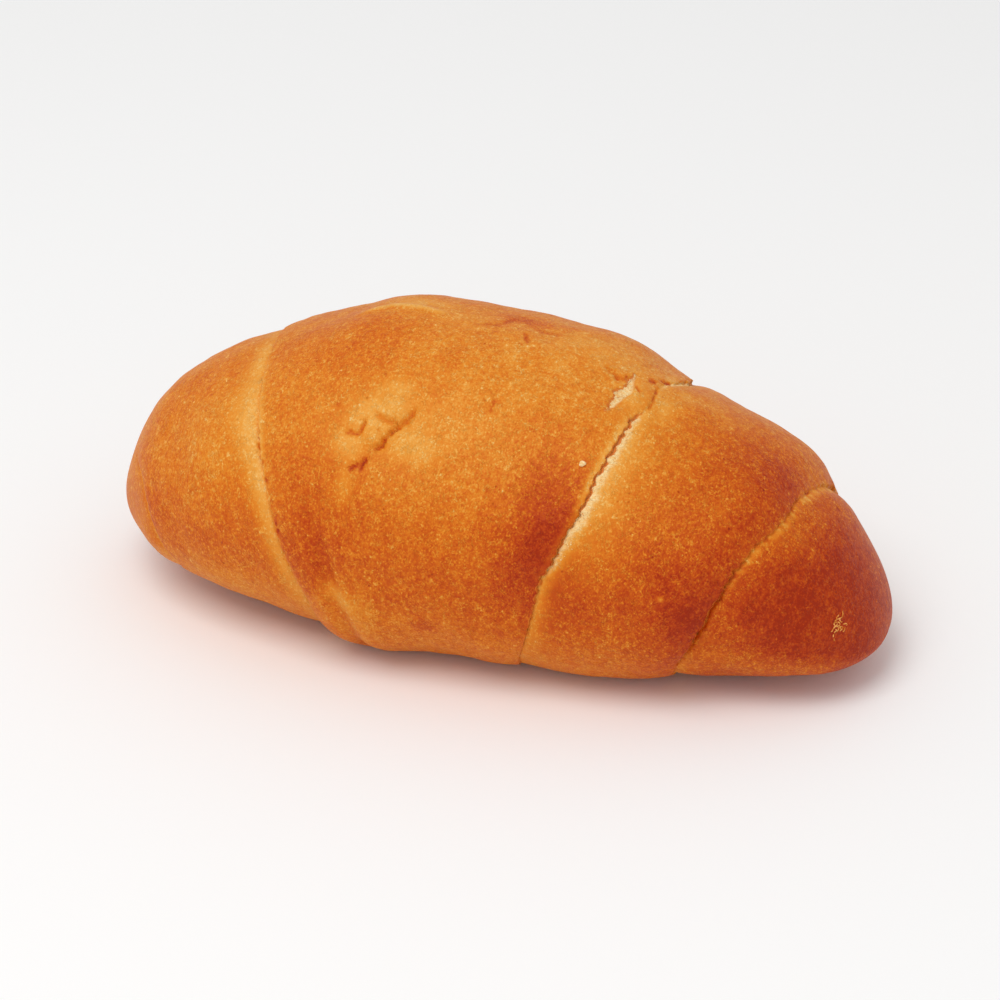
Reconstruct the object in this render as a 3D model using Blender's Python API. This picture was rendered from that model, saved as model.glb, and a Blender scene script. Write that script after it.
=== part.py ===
"""A rolled bread roll: one baked piece of dough, wound up from a long triangle of dough.

The roll lies along X with its fuller end at -X, its front towards -Y and its flat spot at z = 0.
A point of its skin is given by two parameters: along, from 0 at the left tip to 1 at the right
tip, and turn, the angle round the roll in radians, with 0 at the back and a quarter turn on top.
The plain outer form comes first. Along its normals come the folds, where an edge of the wound
dough lies on the turn below it, and then the dents.
"""

import math

import bmesh
import bpy
import numpy as np

# Size of the baked roll, in metres
LENGTH = 0.140
HALF_WIDTH = 0.0340
HEIGHT = 0.0545
TIP_LEFT_HEIGHT = 0.0138
TIP_RIGHT_HEIGHT = 0.0084
BEND = -0.0023
BASE_CUT = 0.0020
BASE_EASE = 0.0010

# Fullness of the outer form: place of the greatest size as a share of half the length, then
# how late and how bluntly each end closes
CROWN = {"at": -0.10, "left": (1.80, 2.05), "right": (1.81, 1.59)}
FLANKS = {"at": -0.18, "left": (1.80, 1.91), "right": (1.88, 2.40)}
WAIST = 0.43
UPPER_FULLNESS = 1.96
LOWER_FULLNESS = 2.41
TIP_RISE = 2.26

# Winding of the dough, in degrees: the angle at which its last corner is tucked under and the
# sweep over which the corner opens out. Each long edge then has its distance from the middle as
# a share of half the length: a pitch for each turn, and a tilt and a wave round the roll.
TUCKED_CORNER = 300.0
CORNER_SWEEP = 60.0
EDGE_LEFT = {
    "start": 0.252, "pitch": 0.575, "curve": -0.073,
    "tilt": 0.031, "tilt_at": -140.0, "wave": 0.021, "wave_at": 12.0,
}
EDGE_RIGHT = {
    "start": 0.116, "pitch": 0.413, "curve": -0.021,
    "tilt": 0.053, "tilt_at": -132.0, "wave": 0.005, "wave_at": 2.0,
}
FURTHEST_EDGE = 0.95

# Folds from left to right. Side is +1 where the lower turn lies to the right of the edge. Lip is
# how far the edge bulges out and drop how far the lower turn sinks, each over the crown and at
# the foot, and reach is how far they run from the edge. The fold ends at the angle ends_at,
# counted back from the tucked corner.
FOLDS = {
    "left_inner": {
        "edge": EDGE_LEFT, "winding": 1, "side": -1, "ends_at": 175.0,
        "lip": (0.0003, 0.0002), "lip_reach": 0.004,
        "drop": (0.0007, 0.0006), "drop_reach": 0.005,
    },
    "left_outer": {
        "edge": EDGE_LEFT, "winding": 0, "side": -1, "ends_at": 360.0,
        "lip": (0.0003, 0.0016), "lip_reach": 0.008,
        "drop": (0.0018, 0.0015), "drop_reach": 0.009,
    },
    "right_outer": {
        "edge": EDGE_RIGHT, "winding": 0, "side": 1, "ends_at": 360.0,
        "lip": (0.0003, 0.0004), "lip_reach": 0.007,
        "drop": (0.0024, 0.0008), "drop_reach": 0.009,
    },
    "right_inner": {
        "edge": EDGE_RIGHT, "winding": 1, "side": 1, "ends_at": 280.0,
        "lip": (0.0018, 0.0014), "lip_reach": 0.006,
        "drop": (0.0012, 0.0018), "drop_reach": 0.008,
    },
}
LIP_SPREAD = 0.014
CROWN_SPREAD = 0.75
FOLD_STARTS = (45.0, 75.0)
FOLD_FADES_OVER = 30.0
CREASE_SINK = 0.0012
CREASE_WIDTH = 0.0016

# Dents in the outer turn: place, half size along and round the roll, and depth
DENTS = {
    "dimple": {"x": -0.0150, "turn": 135.0, "size": (0.0070, 0.0060), "depth": 0.0008},
    "crown_hollow": {"x": 0.0040, "turn": 84.0, "size": (0.0060, 0.0040), "depth": 0.0005},
}
PLEAT = {"from_edge": 0.0072, "width": 0.0016, "depth": 0.0011, "turn": (148.0, 180.0)}

# Net of points: rings from tip to tip, with the number of rings between folds, and points a ring
RINGS_BETWEEN_FOLDS = (8, 12, 24, 12, 10)
POINTS_ROUND = 72
CROWDING = 0.6
TIP_CROWDING = 0.5

CRUST_COLOUR = (0.66, 0.25, 0.06, 1.0)
CRUST_ROUGHNESS = 0.55


def ease(value):
    """Smooth step from 0 to 1."""
    value = np.clip(value, 0.0, 1.0)
    return value * value * (3.0 - 2.0 * value)


def quarter_round(value):
    """Height of a quarter circle that starts steeply at 0 and is level at 1."""
    return np.sqrt(1.0 - (1.0 - np.clip(value, 0.0, 1.0)) ** 2)


def closing(share, form):
    """Size of the roll at a share of its half length, 1 at the fullest place and 0 at a tip."""
    peak = form["at"]
    left = share < peak
    out = np.where(left, (peak - share) / (1.0 + peak), (share - peak) / (1.0 - peak))
    late = np.where(left, form["left"][0], form["right"][0])
    blunt = np.where(left, form["left"][1], form["right"][1])
    return np.clip(1.0 - np.clip(out, 0.0, 1.0) ** late, 0.0, 1.0) ** (1.0 / blunt)


def outer_form(along, turn):
    """Plain form without folds. Each section is half an oval above and a fuller one below."""
    share = -np.cos(math.pi * along)
    tip = np.where(share < 0.0, TIP_LEFT_HEIGHT, TIP_RIGHT_HEIGHT) + BASE_CUT
    low = tip * (1.0 - np.sqrt(np.clip(1.0 - np.abs(share) ** TIP_RISE, 0.0, 1.0)))
    high = tip + (HEIGHT + BASE_CUT - tip) * closing(share, CROWN)
    middle = low + WAIST * (high - low)
    half_width = HALF_WIDTH * closing(share, FLANKS)
    across, up = np.cos(turn), np.sin(turn)
    fullness = np.where(up < 0.0, LOWER_FULLNESS, UPPER_FULLNESS)
    reach = (np.abs(across) ** fullness + np.abs(up) ** fullness) ** (-1.0 / fullness)
    y = BEND * share**2 + half_width * reach * across
    z = middle + np.where(up < 0.0, middle - low, high - middle) * reach * up - BASE_CUT
    x = share * LENGTH / 2.0
    return np.stack(np.broadcast_arrays(x, y, z), axis=-1)


def normals_and_stretch(along, turn, step=1e-4):
    """Outward normals of the plain form, and metres along the roll for a unit of along."""
    before = outer_form(np.clip(along - step, 0.0, 1.0), turn)
    after = outer_form(np.clip(along + step, 0.0, 1.0), turn)
    lengthwise = after - before
    around = outer_form(along, turn + step) - outer_form(along, turn - step)
    normal = np.cross(around, lengthwise)
    size = np.linalg.norm(normal, axis=-1, keepdims=True)
    stretch = np.linalg.norm(lengthwise, axis=-1) / (2.0 * step)
    return normal / np.maximum(size, 1e-15), stretch


def edge_distance(edge, wound):
    """Distance of a dough edge from the middle, after so many degrees back from the corner."""
    turns = wound / 360.0
    tilt = edge["tilt"] * np.cos(np.radians(wound - edge["tilt_at"]))
    wave = edge["wave"] * np.cos(np.radians(2.0 * wound - edge["wave_at"]))
    return edge["start"] + edge["pitch"] * turns + edge["curve"] * turns**2 + tilt + wave


def fold_line(fold, turn):
    """Place of a fold as a value of along, and how much of the fold is left, from 0 to 1."""
    wound = np.mod(TUCKED_CORNER - np.degrees(turn), 360.0)
    here = edge_distance(fold["edge"], wound + 360.0 * fold["winding"])
    under = edge_distance(fold["edge"], 360.0 * (fold["winding"] + 1))
    opened = ease(wound / CORNER_SWEEP)
    share = fold["side"] * np.minimum(here * opened + under * (1.0 - opened), FURTHEST_EDGE)
    shown = ease((wound - FOLD_STARTS[0]) / (FOLD_STARTS[1] - FOLD_STARTS[0]))
    shown = shown * ease((fold["ends_at"] - wound) / FOLD_FADES_OVER)
    return np.arccos(-share) / math.pi, shown


def fold_height(fold, along, turn, stretch):
    """How far a fold lifts or sinks the skin: a rounded lip, a crease and the rise after it."""
    line, shown = fold_line(fold, turn)
    distance = (along - line) * stretch * fold["side"]
    crown = ease(0.5 + CROWN_SPREAD * np.sin(turn))
    lip = fold["lip"][0] * crown + fold["lip"][1] * (1.0 - crown)
    drop = fold["drop"][0] * crown + fold["drop"][1] * (1.0 - crown)
    beyond = np.clip(-distance - fold["lip_reach"], 0.0, None)
    bulge = quarter_round(-distance / fold["lip_reach"]) * np.exp(-0.5 * (beyond / LIP_SPREAD) ** 2)
    sunk = 1.0 - quarter_round(distance / fold["drop_reach"])
    crease = CREASE_SINK * np.exp(-((distance / CREASE_WIDTH) ** 2))
    return shown * (np.where(distance < 0.0, lip * bulge, -drop * sunk) - crease)


def dent_depth(along, turn, x):
    """Depth of the dents in the outer turn, and of the pleat beside the left fold."""
    depth = np.zeros(np.broadcast(along, turn).shape)
    for dent in DENTS.values():
        round_way = (turn - math.radians(dent["turn"])) * HALF_WIDTH
        far = ((x - dent["x"]) / dent["size"][0]) ** 2 + (round_way / dent["size"][1]) ** 2
        depth += dent["depth"] * np.exp(-far)
    line, shown = fold_line(FOLDS["left_outer"], turn)
    edge_x = -np.cos(math.pi * line) * LENGTH / 2.0
    far = (x - edge_x - PLEAT["from_edge"]) / PLEAT["width"]
    first, last = np.radians(PLEAT["turn"])
    grown = ease((turn - first) / (last - first)) * shown
    return depth + PLEAT["depth"] * grown * np.exp(-(far**2))


def skin(along, turn):
    """Points of the baked roll, with its folds and dents, pressed flat where it lies."""
    points = outer_form(along, turn)
    normal, stretch = normals_and_stretch(along, turn)
    height = -dent_depth(along, turn, points[..., 0])
    for fold in FOLDS.values():
        height = height + fold_height(fold, along, turn, stretch)
    points = points + height[..., None] * normal
    z = points[..., 2]
    rounded = (z + BASE_EASE) ** 2 / (4.0 * BASE_EASE)
    points[..., 2] = np.where(z < -BASE_EASE, 0.0, np.where(z > BASE_EASE, z, rounded))
    return points


def crowd_last(part):
    """Spreads 0 to 1 so that the steps get shorter towards 1."""
    return (1.0 - TIP_CROWDING) * part + TIP_CROWDING * np.sin(part * math.pi / 2.0)


def crowd_both(part):
    """Spreads 0 to 1 so that the steps get shorter towards both ends."""
    return part - CROWDING * np.sin(2.0 * math.pi * part) / (2.0 * math.pi)


def ring_places(turn):
    """Value of along for every ring at the given angles, with rings crowded at each fold."""
    lines = [fold_line(fold, turn)[0] for fold in FOLDS.values()]
    stops = [np.zeros_like(turn), *lines, np.ones_like(turn)]
    last = len(RINGS_BETWEEN_FOLDS) - 1
    places = []
    for number, rings in enumerate(RINGS_BETWEEN_FOLDS):
        part = np.arange(rings) / rings
        if number == 0:
            crowded = crowd_last(part)
        elif number == last:
            crowded = 1.0 - crowd_last(1.0 - part)
        else:
            crowded = crowd_both(part)
        span = stops[number + 1] - stops[number]
        places.append(stops[number] + crowded[:, None] * span)
    return np.concatenate([*places, np.ones_like(turn)[None, :]])


def crust_material():
    material = bpy.data.materials.new("golden_crust")
    material.use_nodes = True
    shader = material.node_tree.nodes["Principled BSDF"]
    shader.inputs["Base Color"].default_value = CRUST_COLOUR
    shader.inputs["Roughness"].default_value = CRUST_ROUGHNESS
    shader.inputs["Metallic"].default_value = 0.0
    return material


def shape_ball(ball):
    """Moves each point of a unit ball with poles at -Z and +Z onto the skin of the roll."""
    rings = sum(RINGS_BETWEEN_FOLDS)
    turns = np.arange(POINTS_ROUND) * 2.0 * math.pi / POINTS_ROUND
    net = skin(ring_places(turns), turns[None, :])
    centre = (net.reshape(-1, 3).min(axis=0) + net.reshape(-1, 3).max(axis=0)) / 2.0
    for vert in ball.verts:
        ring = round(math.acos(max(-1.0, min(1.0, -vert.co.z))) / math.pi * rings)
        spoke = round(math.atan2(vert.co.y, vert.co.x) / (2.0 * math.pi) * POINTS_ROUND)
        x, y, z = net[ring, spoke % POINTS_ROUND]
        vert.co = (x - centre[0], y - centre[1], z)


def make_roll():
    ball = bmesh.new()
    bmesh.ops.create_uvsphere(
        ball, u_segments=POINTS_ROUND, v_segments=sum(RINGS_BETWEEN_FOLDS), radius=1.0
    )
    shape_ball(ball)
    mesh = bpy.data.meshes.new("roll")
    ball.to_mesh(mesh)
    ball.free()
    mesh.shade_smooth()
    mesh.materials.append(crust_material())
    roll = bpy.data.objects.new("roll", mesh)
    bpy.context.scene.collection.objects.link(roll)
    return roll


for old in list(bpy.data.objects):
    bpy.data.objects.remove(old)
make_roll()
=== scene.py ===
import math

import bpy
import numpy as np
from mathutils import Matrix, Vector


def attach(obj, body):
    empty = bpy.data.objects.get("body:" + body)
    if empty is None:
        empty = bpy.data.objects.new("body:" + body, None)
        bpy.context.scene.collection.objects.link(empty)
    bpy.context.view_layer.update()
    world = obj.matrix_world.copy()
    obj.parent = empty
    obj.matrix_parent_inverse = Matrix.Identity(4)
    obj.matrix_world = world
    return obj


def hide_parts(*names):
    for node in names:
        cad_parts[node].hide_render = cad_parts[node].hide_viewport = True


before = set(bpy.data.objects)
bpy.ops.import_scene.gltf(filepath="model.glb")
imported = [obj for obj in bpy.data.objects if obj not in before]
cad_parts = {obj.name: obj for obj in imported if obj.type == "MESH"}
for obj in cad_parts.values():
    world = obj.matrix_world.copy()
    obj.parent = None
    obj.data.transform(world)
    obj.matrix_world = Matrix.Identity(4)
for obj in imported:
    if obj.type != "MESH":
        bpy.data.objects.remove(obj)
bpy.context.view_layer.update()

# The crust: one piece of milk dough, wound up from a long triangle and baked golden brown. The
# two long edges of the triangle lie round the roll as folds, and the last corner is tucked under
# it. Sizes in this section are in millimetres and degrees, and the plain form is the CAD's own.
METRES = 0.001
LENGTH = 140.0
HALF_WIDTH = 34.0
HEIGHT = 54.5
TIP_LEFT_HEIGHT = 13.8
TIP_RIGHT_HEIGHT = 8.4
BEND = -2.3
SET_BACK = 0.55
BASE_CUT = 2.0
BASE_EASE = 1.0
CROWN = {"at": -0.10, "left": (1.80, 2.05), "right": (1.81, 1.59)}
FLANKS = {"at": -0.18, "left": (1.80, 1.91), "right": (1.88, 2.40)}
WAIST = 0.43
UPPER_FULLNESS = 1.96
LOWER_FULLNESS = 2.41
TIP_RISE = 2.26
ONE_DEGREE_ROUND = 0.52

# Winding: the angle at which the last corner is tucked under, the sweep over which it opens out,
# and each long edge's distance from the middle as a share of half the length
TUCKED_CORNER = 300.0
CORNER_SWEEP = 60.0
EDGE_LEFT = {
    "start": 0.252, "pitch": 0.575, "curve": -0.073,
    "tilt": 0.031, "tilt_at": -140.0, "wave": 0.021, "wave_at": 12.0,
}
EDGE_RIGHT = {
    "start": 0.116, "pitch": 0.413, "curve": -0.021,
    "tilt": 0.053, "tilt_at": -132.0, "wave": 0.005, "wave_at": 2.0,
}
FURTHEST_EDGE = 0.95

# Folds from left to right. Lip and drop say how far the edge bulges and the lower turn sinks, and
# soft how gently both begin, each as pairs of an angle round the roll and a value. Crease is its
# place beyond the edge, half width and depths, and jogs shift the line: angle, half width, shift.
FOLDS = {
    "left_inner": {
        "edge": EDGE_LEFT, "winding": 1, "side": -1, "ends_at": 175,
        "lip": ((90, 0.3), (200, 0.35), (228, 0.1), (290, 0.4)), "lip_reach": 3,
        "drop": ((90, 0.5), (200, 0.6), (228, 0.15), (290, 0.6)), "drop_reach": 4,
        "soft": ((0, 0.3),),
        "crease": (0.1, 0.4, ((0, 0.12),)), "ragged": 0.12,
        "jogs": ((172, 50, 2.9), (212, 12, 1.8)),
    },
    "left_outer": {
        "edge": EDGE_LEFT, "winding": 0, "side": -1, "ends_at": 360,
        "lip": ((90, 0.2), (140, 0.3), (180, 0.8), (215, 2), (300, 1.5), (0, 0.8)),
        "lip_reach": 6,
        "drop": ((70, 0.8), (95, 0.45), (150, 0.5), (180, 0.9), (215, 1.7), (0, 1.5)),
        "drop_reach": 9, "soft": ((60, 0.6), (110, 0.3), (250, 0.1), (300, 0.6)),
        "crease": (0.2, 0.30, ((60, 0.1), (110, 0.2), (170, 0.3), (230, 0.3), (300, 0.1))),
        "ragged": 0.24,
        "jogs": ((88, 30, 0.6), (146, 8, -0.3), (192, 14, 0.7)),
    },
    "right_outer": {
        "edge": EDGE_RIGHT, "winding": 0, "side": 1, "ends_at": 360,
        "lip": ((60, 0.5), (76, 0.25), (88, 0.1), (105, 0), (112, 0.4), (165, 0.5),
                (215, 0.6), (0, 0.5)),
        "lip_reach": 6,
        "drop": ((48, 1.7), (60, 1.35), (74, 0.5), (90, 0.12), (104, 0.12), (111, 0.5),
                 (165, 0.6), (184, 0.45), (226, 0.4), (0, 1.6)),
        "drop_reach": 8, "soft": ((60, 0.2), (110, 0.1), (200, 0.2), (0, 0.5)),
        "crease": (0.16, 0.24, ((100, 0), (110, 0.16), (170, 0.16), (184, 0), (0, 0.1))),
        "ragged": 0.32,
        "jogs": ((38, 17, -3.6), (66, 9, 0.8), (88, 7, -0.6), (103, 6, 0.5),
                 (111, 5, -0.6), (146, 10, 0.5), (150, 42, -0.5), (174, 9, -0.8),
                 (204, 9, 0.3)),
    },
    "right_inner": {
        "edge": EDGE_RIGHT, "winding": 1, "side": 1, "ends_at": 280,
        "lip": ((38, 2.6), (75, 1.7), (100, 1.25), (140, 1.2), (180, 1.35), (212, 1.4), (0, 1.7)),
        "lip_reach": 7.5,
        "drop": ((50, 0.8), (74, 0.3), (130, 0.4), (160, 0.8), (195, 1.1), (220, 0.5),
                 (250, 0.5), (300, 1.2)),
        "drop_reach": 8,
        "soft": ((60, 1), (152, 1), (172, 0.4), (195, 0.4), (208, 1), (0, 0.6)),
        "crease": (0.15, 0.40, ((60, 0), (140, 0.06), (165, 0.5), (190, 0.6), (208, 0.05),
                                (0, 0.2))),
        "ragged": 0.30,
        "jogs": ((118, 15, 0.95), (216, 16, -0.5)),
    },
}
LIP_SPREAD = 14.0
RAGGED_REACH = 1.6
FOLD_STARTS = (45.0, 75.0)
FOLD_FADES_OVER = 30.0

# Swells and hollows of the dough: place along and round the roll, half sizes, and height
SWELLS = {
    "dimple": (-15, 135, 7.5, 12, -1),
    "crown_hollow": (4, 84, 6, 8, -0.5),
    "bulge_above_crease": (-13.6, 126.2, 2, 3.4, 0.95),
    "bulge_below_crease": (-9.4, 137.2, 2.2, 2.8, 0.90),
    "bulge_in_crease": (-15.6, 136.4, 1.5, 2.9, 0.85),
    "blister": (36, 168, 0.6, 1, 0.2),
    "left_shoulder": (-60.5, 98, 6, 30, 0.8),
    "left_belly": (-58, 200, 5, 30, 0.6),
    "beside_left_fold": (-36.5, 78, 9, 34, -0.9),
    "under_left_fold": (-36, 218, 9, 26, -1),
    "crown_left": (-22, 74, 8, 26, 0.8),
    "crown_middle": (-3, 72, 5, 24, -0.5),
    "belly": (-3, 222, 9, 22, -1.1),
    "crown_right": (15, 70, 6, 24, 0.5),
    "right_turn_crown": (39, 62, 11, 30, -1.1),
    "right_turn_belly": (28, 222, 8, 22, -0.5),
    "tip_belly": (63, 206, 5, 28, 0.7),
    "tip_crown": (58.5, 62, 3.5, 30, 0.8),
    "under_right_fold": (46, 216, 5, 24, -0.7),
    "beside_notch": (27, 60, 4, 16, -1),
    "left_tip": (-67, 120, 4, 40, -0.5),
    "flap": (25.3, 99.5, 1.5, 7, 0.32),
}

# Creases and slits in the skin: points (along, round), half width, depth and darkness, which is
# painted shade in the creases and slits, and on the smudges their own darker colour
STROKES = {
    "dimple_crease": (((-8.8, 125.6), (-9.8, 128.4), (-10.3, 130.6), (-11.4, 132.2),
                       (-12.6, 134), (-13.3, 136.4)), 0.54, 0.80, 0.50),
    "dimple_line": (((-10.4, 131), (-11.6, 132.8), (-12.7, 134.6), (-13.5, 137.2), (-13.6, 139.6),
                     (-14.7, 140.6), (-16.2, 141.6)), 0.38, 0.85, 0.64),
    "dimple_branch": (((-21, 136.2), (-19.7, 136.3), (-18.8, 136.4), (-17.7, 135.6)),
                      0.32, 0.40, 0.62),
    "dimple_branch_up": (((-18.3, 137.2), (-17.9, 134.4), (-17.7, 132.1), (-17.5, 129.6)),
                         0.32, 0.45, 0.60),
    "dimple_brow": (((-16.6, 126.8), (-16, 129.4), (-15.2, 130.6), (-13.8, 131.3),
                     (-12.2, 131.3), (-10.8, 130.6)), 0.46, 0.50, 0.42),
    "pinch_left": (((-18.6, 148.6), (-17.8, 146.6), (-16.8, 145.2)), 0.36, 0.50, 0.95),
    "pinch_right": (((-15.8, 142.8), (-16.2, 145.6), (-16.5, 148)), 0.40, 0.50, 0.90),
    "crown_slit": (((3.4, 87.5), (4, 91), (4.7, 94.6)), 0.30, 0.40, 0.62),
    "smudge_left": (((-5.4, 88.6), (-1.7, 87), (-0.6, 82), (1.6, 78)), 0.45, 0.12, 0.34),
    "smudge_right": (((3, 82.5), (6, 84), (9.8, 83)), 0.45, 0.12, 0.34),
    "crown_mark": (((-4.3, 94.5), (-3.3, 94.2), (-2.5, 92.8)), 0.45, 0.15, 0.25),
    "small_slash": (((3.8, 118.6), (3.6, 121.2), (3.2, 125)), 0.26, 0.24, 0.55),
    "flap_wrinkle": (((18, 91.8), (18.9, 92.8), (20, 93.9), (21.5, 95.9), (22, 97)),
                     0.42, 0.55, 0.45),
    "flap_tip": (((20.8, 96.8), (21.4, 95.7), (22.1, 93.9), (23, 91.2)), 0.28, 0.25, 0.60),
    "tear_hook": (((23.9, 94.6), (24.7, 96.6), (25.5, 98.8)), 0.22, 0.20, 0.5),
    "notch_dent_left": (((25.4, 89), (26.8, 86.8)), 0.62, 0.35, 0.75),
    "notch_dent": (((27.1, 84.6), (28.1, 83), (29, 81.4)), 0.52, 0.50, 1.1),
    "ledge_dent": (((29.2, 66), (30.2, 64)), 0.40, 0.25, 0.7),
    "below_notch": (((27.4, 89.6), (27.6, 94), (27.7, 99)), 0.22, 0.18, 0.4),
    "flap_edge": (((27.8, 96), (27.7, 99.6), (27.6, 104)), 0.20, 0.15, 0.4),
    "seam_slit": (((54.6, 84), (54.2, 89)), 0.22, 0.2, 0.6),
    "seam_slit_low": (((53.5, 97), (53.1, 101)), 0.22, 0.2, 0.6),
}
# Small pits and dark spots: place along and round, radius, depth and darkness, which is painted
# shade in the pits and the spots' own darker colour
PITS = (
    (-37, 137.2, 0.36, 0.18, 0.8), (-36.7, 141.8, 0.40, 0.20, 0.9),
    (-36.3, 143, 0.34, 0.16, 0.7), (-35, 147.8, 0.36, 0.16, 0.8),
    (-33.7, 153.8, 0.40, 0.18, 0.9), (-30.7, 167.5, 0.38, 0.18, 0.8),
    (-30.2, 170, 0.36, 0.18, 0.8), (-29.2, 177, 0.36, 0.16, 0.8),
    (-28.6, 181.5, 0.40, 0.18, 0.9), (-28.3, 183.5, 0.34, 0.16, 0.8),
    (-27.8, 187.2, 0.36, 0.16, 0.8), (-26.7, 191.8, 0.38, 0.16, 0.8),
    (-23.1, 127.4, 0.34, 0.16, 0.45), (-14.9, 134.6, 0.30, 0.16, 0.45),
    (11, 126.2, 0.50, 0.10, 0.35), (12.1, 136.3, 0.45, 0.10, 0.35),
    (2.1, 121, 0.35, 0.08, 0.2), (-9.2, 214.5, 0.36, 0.08, 0.7),
    (58.7, 76.8, 0.40, 0.10, 0.5), (3.2, 200, 0.30, 0.06, 0.3),
)
# The short tear's left and right edge: pairs of an angle round the roll and a place along it
TEAR_LEFT = ((88.5, 23.2), (91.8, 22.8), (93.9, 22.4), (95.9, 22.8), (98.9, 22.4), (99.9, 21.8),
             (101.9, 21.1), (102.9, 21.6), (106.7, 21.4), (111.5, 21.2))
TEAR_RIGHT = ((88.5, 23.3), (89.6, 23.6), (93.9, 24), (98.9, 24.5), (100.9, 24), (103.8, 23.4),
              (107.6, 22.7), (111.5, 21.5))
TEAR_ENDS = (87.5, 112.5)
TEAR_DEPTH = 0.40

# The net of points: between each two folds the count of columns, their length and where they
# crowd together, as a place, half width and gain, and then the same for the rows round the roll
COLUMNS = {
    "left_tip": (26, 14, ((14, 2.5, 2),)),
    "left_turn": (72, 26, ((0, 1.2, 3), (26, 1.8, 3.5))),
    "outer_turn": (176, 62, ((0, 2, 3), (22, 7, 0.7), (56, 2.5, 0.8),
                               (62, 1.3, 4.5))),
    "right_turn": (76, 25, ((0, 2, 4.5), (25, 1.3, 3))),
    "right_tip": (58, 24, ((0, 1.8, 3), (24, 4, 0.6))),
}
ROWS = 242
ROW_CROWDS = ((227.0, 75.0, 2.2),)
FIRST_TURN = -90.0


def ease(value):
    """Smooth step: three times the square less twice the cube of a value held to 0 to 1."""
    value = np.clip(value, 0.0, 1.0)
    return value * value * (3.0 - 2.0 * value)


def bell(value):
    """Bell curve: e to the minus square of the value."""
    return np.exp(-(value**2))


def rounded(value, soft):
    """Rise from 0 to 1: a quarter circle, mixed with a parabola where it is soft."""
    parabola = 1.0 - (1.0 - np.clip(value, 0.0, 1.0)) ** 2
    return np.sqrt(parabola) * (1.0 - soft) + parabola * soft


def closing(share, form):
    """Size at a share of the half length: 1 less the way out to a power, all to a root."""
    peak = form["at"]
    left = share < peak
    out = np.where(left, (peak - share) / (1.0 + peak), (share - peak) / (1.0 - peak))
    late = np.where(left, form["left"][0], form["right"][0])
    blunt = np.where(left, form["left"][1], form["right"][1])
    return np.clip(1.0 - np.clip(out, 0.0, 1.0) ** late, 0.0, 1.0) ** (1.0 / blunt)


def outer_form(along, turn):
    """Plain form: each section is half a superellipse above and a fuller one below.

    Its height and half width close to the tips by a power, and its lowest point rises there.
    """
    share = -np.cos(math.pi * along)
    tip = np.where(share < 0.0, TIP_LEFT_HEIGHT, TIP_RIGHT_HEIGHT) + BASE_CUT
    low = tip * (1.0 - np.sqrt(np.clip(1.0 - np.abs(share) ** TIP_RISE, 0.0, 1.0)))
    high = tip + (HEIGHT + BASE_CUT - tip) * closing(share, CROWN)
    middle = low + WAIST * (high - low)
    half_width = HALF_WIDTH * closing(share, FLANKS)
    across, up = np.cos(turn), np.sin(turn)
    fullness = np.where(up < 0.0, LOWER_FULLNESS, UPPER_FULLNESS)
    reach = (np.abs(across) ** fullness + np.abs(up) ** fullness) ** (-1.0 / fullness)
    y = BEND * share**2 + half_width * reach * across
    z = middle + np.where(up < 0.0, middle - low, high - middle) * reach * up - BASE_CUT
    return np.stack(np.broadcast_arrays(share * LENGTH / 2.0, y, z), axis=-1)


def normals_and_stretch(along, turn, step=1e-4):
    """Normals: the cross product of small steps round and along; and mm for a unit of along."""
    lengthwise = outer_form(np.clip(along + step, 0.0, 1.0), turn)
    lengthwise = lengthwise - outer_form(np.clip(along - step, 0.0, 1.0), turn)
    around = outer_form(along, turn + step) - outer_form(along, turn - step)
    normal = np.cross(around, lengthwise)
    size = np.linalg.norm(normal, axis=-1, keepdims=True)
    stretch = np.linalg.norm(lengthwise, axis=-1) / (2.0 * step)
    return normal / np.maximum(size, 1e-12), stretch


def edge_distance(edge, wound):
    """Distance of a dough edge from the middle: a parabola of the turns, a tilt and a wave."""
    turns = wound / 360.0
    tilt = edge["tilt"] * np.cos(np.radians(wound - edge["tilt_at"]))
    wave = edge["wave"] * np.cos(np.radians(2.0 * wound - edge["wave_at"]))
    return edge["start"] + edge["pitch"] * turns + edge["curve"] * turns**2 + tilt + wave


def fold_line(fold, degrees):
    """Place of a fold as a value of along, and how much of it shows, from 0 to 1.

    It is the dough edge's distance at the wound angle, eased out from under the roll, plus a
    bell for each jog.
    """
    wound = np.mod(TUCKED_CORNER - degrees, 360.0)
    here = edge_distance(fold["edge"], wound + 360.0 * fold["winding"])
    under = edge_distance(fold["edge"], 360.0 * (fold["winding"] + 1))
    opened = ease(wound / CORNER_SWEEP)
    share = fold["side"] * np.minimum(here * opened + under * (1.0 - opened), FURTHEST_EDGE)
    for at, width, shift in fold["jogs"]:
        share = share + shift / (LENGTH / 2.0) * bell((np.mod(degrees, 360.0) - at) / width)
    shown = ease((wound - FOLD_STARTS[0]) / (FOLD_STARTS[1] - FOLD_STARTS[0]))
    shown = shown * ease((fold["ends_at"] - wound) / FOLD_FADES_OVER)
    return np.arccos(-share) / math.pi, shown


def round_the_roll(degrees, pairs):
    """Value at an angle, in straight steps between pairs of an angle and a value."""
    angles, values = zip(*pairs)
    return np.interp(degrees, angles, values, period=360.0)


def ragged_edge(degrees, seed, waves=26, first=14, last=110):
    """Uneven line round the roll: a sum of whole waves with random phases, about 1 high."""
    random = np.random.default_rng(seed)
    counts = random.integers(first, last, waves)
    phases = random.uniform(0.0, 2.0 * math.pi, waves)
    waves_there = np.cos(np.radians(degrees)[..., None] * counts + phases)
    return waves_there.sum(axis=-1) / math.sqrt(waves / 2.0) / 2.0


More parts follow.
